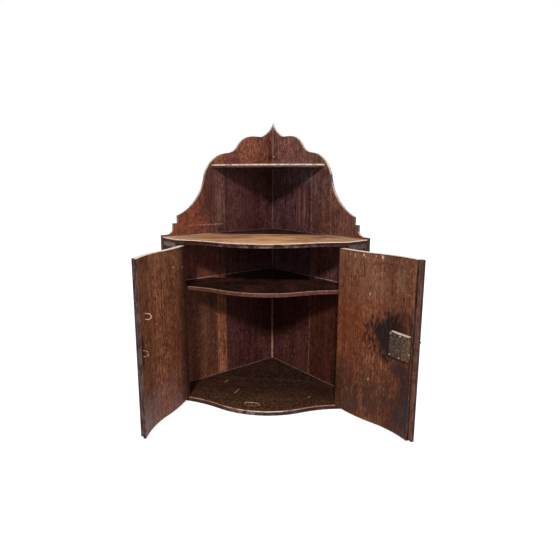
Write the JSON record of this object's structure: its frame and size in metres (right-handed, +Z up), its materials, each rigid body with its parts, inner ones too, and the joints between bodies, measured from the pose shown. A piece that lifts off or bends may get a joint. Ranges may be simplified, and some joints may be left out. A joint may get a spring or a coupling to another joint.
{
  "type": "hanging corner cupboard",
  "caption": "Serpentine-fronted hanging corner cupboard: shaped gallery back, small gallery shelf, curved doors on butt hinges, inner shelf and box lock.",
  "frame": {"origin": "foot of the room corner that the cupboard stands in: where the backs of the two walls and the underside meet", "axes": "+Z up, +X to the right seen from the room, -Y out into the room; the room's walls run along (-1,-1,0) and (1,-1,0)"},
  "size_m": [0.8085, 0.6788, 0.955],
  "materials": {
    "door_wood": "worn waxed reddish-brown softwood, satin",
    "wall_wood": "dark red-brown stained softwood, dull",
    "top_wood": "orange-brown worn softwood, satin, scuffed arrises",
    "shelf_wood": "brown stained softwood with pale worn edges",
    "iron": "old dark iron, rubbed bright on edges",
    "brass": "old brass, tarnished"
  },
  "bodies": {
    "cabinet": {"left_back_outer_board": "wall_wood", "left_back_strip": "wall_wood", "left_back_inner_board": "wall_wood", "right_back_outer_board": "wall_wood", "right_back_inner_board": "wall_wood", "left_stile": "door_wood", "right_stile": "door_wood", "top_front_board": "top_wood", "top_back_board": "top_wood", "bottom_front_board": "shelf_wood", "bottom_back_board": "shelf_wood", "inner_shelf": "shelf_wood", "gallery_shelf": "shelf_wood", "left_cornice_return": "door_wood", "right_cornice_return": "door_wood", "left_wall_nails": "iron", "right_wall_nails": "iron", "left_upper_hinge_stile_leaf": "brass", "left_upper_hinge_pin": "brass", "left_lower_hinge_stile_leaf": "brass", "left_lower_hinge_pin": "brass", "right_upper_hinge_stile_leaf": "brass", "right_upper_hinge_pin": "brass", "right_lower_hinge_stile_leaf": "brass", "right_lower_hinge_pin": "brass", "left_stile_screws": "brass", "right_stile_screws": "brass", "floor_staple": "iron", "hanging_screw": "iron"},
    "left_door": {"left_door": "door_wood", "left_upper_hinge_door_leaf": "brass", "left_lower_hinge_door_leaf": "brass", "left_door_screws": "brass", "left_door_staple": "iron", "lock_keep": "iron"},
    "right_door": {"right_door": "door_wood", "right_upper_hinge_door_leaf": "brass", "right_lower_hinge_door_leaf": "brass", "right_door_screws": "brass", "lock_case": "iron", "lock_cap": "iron", "lock_plate": "iron", "bolt_spring": "iron", "key_pin": "iron", "lock_screws": "iron", "keyhole_escutcheon": "brass", "escutcheon_pins": "brass", "door_knob": "brass"},
    "lock_bolt": {"lock_bolt": "iron"}
  },
  "joints": [
    {"name": "left_door_hinge", "type": "hinge", "parent": "cabinet", "child": "left_door", "pos_m": [-0.26446, -0.40464, 0.275], "axis": [0, 0, -1], "range_deg": [-84.5, 45.5]},
    {"name": "right_door_hinge", "type": "hinge", "parent": "cabinet", "child": "right_door", "pos_m": [0.26446, -0.40464, 0.275], "axis": [0, 0, 1], "range_deg": [-119, 11]},
    {"name": "lock_bolt_slide", "type": "slide", "parent": "right_door", "child": "lock_bolt", "axis": [0.6196, -0.7849, 0], "range_m": [0, 0.022]}
  ]
}
